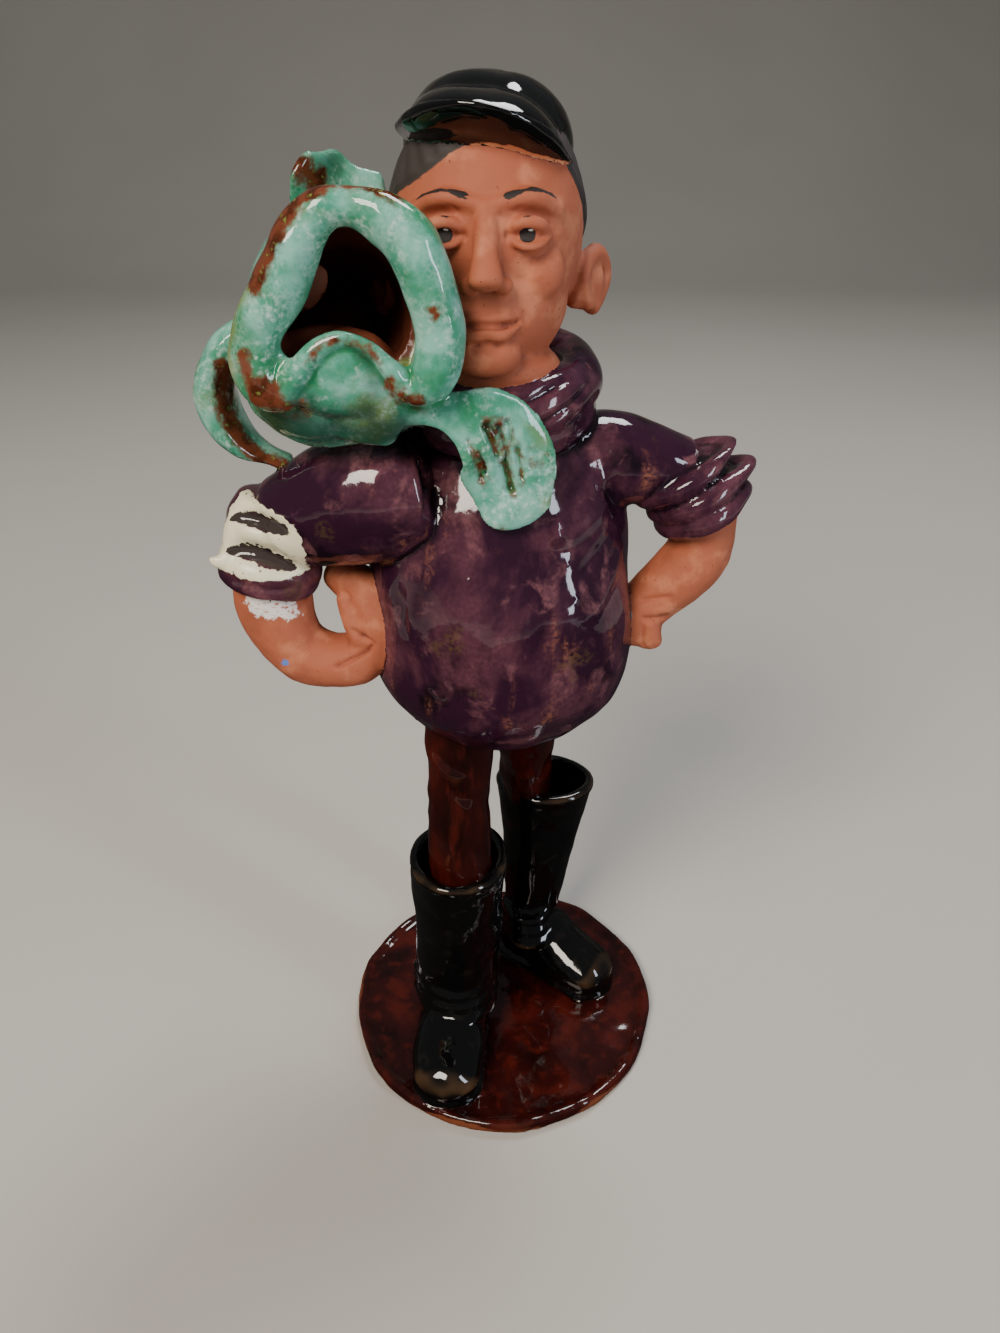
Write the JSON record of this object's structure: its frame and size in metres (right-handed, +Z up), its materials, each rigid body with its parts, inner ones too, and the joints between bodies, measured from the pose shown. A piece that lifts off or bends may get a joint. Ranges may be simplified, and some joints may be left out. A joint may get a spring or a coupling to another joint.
{
  "type": "fisherman figurine",
  "caption": "Glazed earthenware figurine of a stout fisherman in boots, hands on hips, with a gaping fish over one shoulder, standing on a round disc.",
  "frame": {"origin": "middle of the flat underside of the disc he stands on", "axes": "+Z up, he faces -Y, his left side is towards +X"},
  "size_m": [0.141, 0.11, 0.3003],
  "materials": {
    "glazed_earthenware": "hand-built red earthenware under runny coloured glazes: aubergine jumper, treacle-brown trousers and disc, black boots and cap, turquoise crackle fish; head and hands left as bare matt clay"
  },
  "bodies": {
    "root": {"figurine": "glazed_earthenware"}
  },
  "joints": []
}
